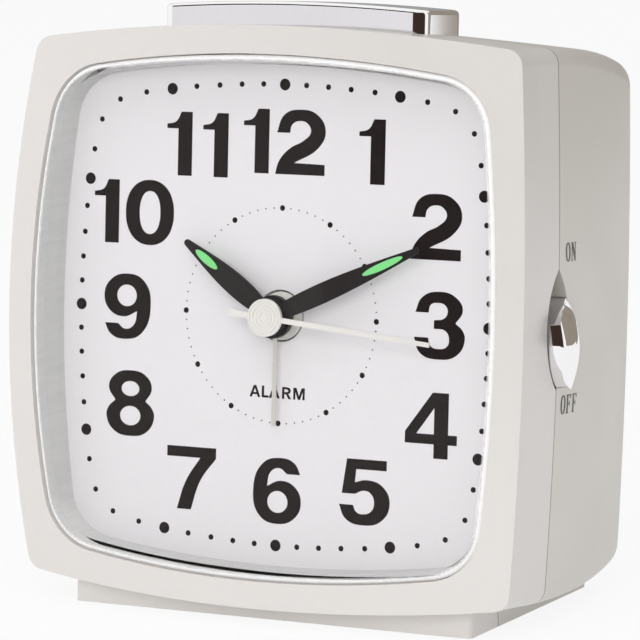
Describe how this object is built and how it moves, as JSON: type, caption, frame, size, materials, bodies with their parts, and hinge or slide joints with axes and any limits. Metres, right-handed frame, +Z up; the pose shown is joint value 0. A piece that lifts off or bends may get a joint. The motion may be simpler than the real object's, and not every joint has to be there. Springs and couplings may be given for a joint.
{
  "type": "analog alarm clock",
  "caption": "Analog bedside alarm clock with a bowed square silver case, domed clear cover, chromed top bar and leaf-shaped side switch, leaning back on its foot.",
  "frame": {"origin": "centre of the flat underside of the foot", "axes": "+Z up, -Y is the way the dial faces (it leans back 4.65 degrees), +X to the right of someone who reads the dial"},
  "size_m": [0.1111, 0.0748, 0.1137],
  "materials": {
    "front_case": "fine metallic silver, satin",
    "rear_case": "fine metallic silver, satin",
    "lens": "clear polished acrylic",
    "dial": "matt pale grey print",
    "dial_carrier": "moulded white",
    "case_screws": "bright steel",
    "carrier_screws": "bright steel",
    "movement_screws": "bright steel",
    "snooze_bar": "chrome plated plastic",
    "bar_springs": "bright steel",
    "light_contact": "turned brass",
    "alarm_switch_knob": "chrome plated plastic",
    "alarm_switch_body": "black moulding",
    "alarm_switch_slider": "red moulding",
    "hour_hand": "satin black paint",
    "hour_hand_lume": "luminous paint",
    "minute_hand": "satin black paint",
    "minute_hand_lume": "luminous paint",
    "second_hand": "satin black paint",
    "alarm_hand": "pale paint",
    "alarm_wheel": "natural nylon",
    "hour_wheel": "natural acetal",
    "cannon_pinion": "turned brass",
    "minute_wheel": "blue acetal",
    "time_set_wheel": "white acetal",
    "alarm_set_wheel": "white acetal",
    "third_wheel": "natural acetal",
    "second_wheel": "white acetal on a steel arbor",
    "middle_wheel": "natural acetal",
    "rotor": "sintered magnet",
    "stator": "laminated iron",
    "coil_bobbin": "black moulding",
    "coil_winding": "enamelled copper wire",
    "movement_front_housing": "moulded white",
    "train_bridge": "moulded white",
    "movement_back_housing": "moulded white",
    "circuit_board": "green board",
    "quartz_crystal": "bright can",
    "chip": "black resin",
    "time_set_knob": "black moulding",
    "alarm_set_knob": "black moulding",
    "battery_door": "fine metallic silver, satin",
    "aa_cell": "plain wrapped cell",
    "positive_contact": "bright steel",
    "spring_contact": "bright steel",
    "buzzer": "black moulding",
    "lamp_board": "white strip board",
    "dial_lamp": "yellowish lens"
  },
  "bodies": {
    "case": {"front_case": "front_case", "rear_case": "rear_case", "lens": "lens", "dial": "dial", "dial_carrier": "dial_carrier", "case_screws": "case_screws", "carrier_screws": "carrier_screws", "movement_screws": "movement_screws", "bar_springs": "bar_springs", "light_contact": "light_contact", "alarm_switch_body": "alarm_switch_body", "stator": "stator", "coil_bobbin": "coil_bobbin", "coil_winding": "coil_winding", "movement_front_housing": "movement_front_housing", "train_bridge": "train_bridge", "movement_back_housing": "movement_back_housing", "circuit_board": "circuit_board", "quartz_crystal": "quartz_crystal", "chip": "chip", "aa_cell": "aa_cell", "positive_contact": "positive_contact", "spring_contact": "spring_contact", "buzzer": "buzzer", "lamp_board": "lamp_board", "dial_lamp": "dial_lamp"},
    "snooze_button": {"snooze_bar": "snooze_bar"},
    "alarm_switch": {"alarm_switch_knob": "alarm_switch_knob", "alarm_switch_slider": "alarm_switch_slider"},
    "hour": {"hour_hand": "hour_hand", "hour_hand_lume": "hour_hand_lume", "hour_wheel": "hour_wheel"},
    "minute": {"minute_hand": "minute_hand", "minute_hand_lume": "minute_hand_lume", "cannon_pinion": "cannon_pinion"},
    "second": {"second_hand": "second_hand", "second_wheel": "second_wheel"},
    "alarm": {"alarm_hand": "alarm_hand", "alarm_wheel": "alarm_wheel"},
    "clutch_wheel": {"minute_wheel": "minute_wheel"},
    "third": {"third_wheel": "third_wheel"},
    "middle": {"middle_wheel": "middle_wheel"},
    "motor_rotor": {"rotor": "rotor"},
    "time_set": {"time_set_wheel": "time_set_wheel", "time_set_knob": "time_set_knob"},
    "alarm_set": {"alarm_set_wheel": "alarm_set_wheel", "alarm_set_knob": "alarm_set_knob"},
    "door": {"battery_door": "battery_door"}
  },
  "joints": [
    {"name": "snooze_press", "type": "slide", "parent": "case", "child": "snooze_button", "axis": [0, -0.0811, -0.9967], "range_m": [0, 0.0015], "stiffness_N_per_m": 1000, "springref_m": -0.001, "deforming": ["bar_springs", "light_contact"]},
    {"name": "alarm_switch_slide", "type": "slide", "parent": "case", "child": "alarm_switch", "axis": [0, 0.0811, 0.9967], "range_m": [0, 0.0044]},
    {"name": "second_spin", "type": "hinge", "parent": "case", "child": "second", "pos_m": [0, -0.01852, 0.05605], "axis": [0, 0.9967, -0.0811], "continuous": true},
    {"name": "rotor_spin", "type": "hinge", "parent": "case", "child": "motor_rotor", "pos_m": [-0.00671, -0.00471, 0.04083], "axis": [0, 0.9967, -0.0811], "continuous": true},
    {"name": "middle_spin", "type": "hinge", "parent": "case", "child": "middle", "pos_m": [0, -0.00629, 0.04603], "axis": [0, 0.9967, -0.0811], "continuous": true},
    {"name": "third_spin", "type": "hinge", "parent": "case", "child": "third", "pos_m": [0, -0.00686, 0.06363], "axis": [0, 0.9967, -0.0811], "continuous": true},
    {"name": "clutch_spin", "type": "hinge", "parent": "case", "child": "clutch_wheel", "pos_m": [0, -0.00855, 0.05524], "axis": [0, 0.9967, -0.0811], "continuous": true},
    {"name": "minute_spin", "type": "hinge", "parent": "case", "child": "minute", "pos_m": [0, -0.01852, 0.05605], "axis": [0, 0.9967, -0.0811], "continuous": true},
    {"name": "hour_spin", "type": "hinge", "parent": "case", "child": "hour", "pos_m": [0, -0.01852, 0.05605], "axis": [0, 0.9967, -0.0811], "continuous": true},
    {"name": "time_set_spin", "type": "hinge", "parent": "case", "child": "time_set", "pos_m": [0.012, 0.03132, 0.052], "axis": [0, 0.9967, -0.0811], "continuous": true},
    {"name": "alarm_spin", "type": "hinge", "parent": "case", "child": "alarm", "pos_m": [0, -0.01852, 0.05605], "axis": [0, 0.9967, -0.0811], "continuous": true},
    {"name": "alarm_set_spin", "type": "hinge", "parent": "case", "child": "alarm_set", "pos_m": [-0.012, 0.03132, 0.052], "axis": [0, 0.9967, -0.0811], "continuous": true},
    {"name": "battery_door_hinge", "type": "hinge", "parent": "case", "child": "door", "pos_m": [0, 0.03132, 0.01132], "axis": [-1, 0, 0], "range_deg": [0, 95]}
  ],
  "couplings": [
    {"joint": "rotor_spin", "follows": "second_spin", "ratio": 30},
    {"joint": "middle_spin", "follows": "second_spin", "ratio": -5},
    {"joint": "third_spin", "follows": "second_spin", "ratio": -0.13333},
    {"joint": "clutch_spin", "follows": "second_spin", "ratio": 0.016667},
    {"joint": "time_set_spin", "follows": "minute_spin", "ratio": -0.33333},
    {"joint": "hour_spin", "follows": "minute_spin", "ratio": 0.083333},
    {"joint": "alarm_set_spin", "follows": "alarm_spin", "ratio": -4}
  ]
}
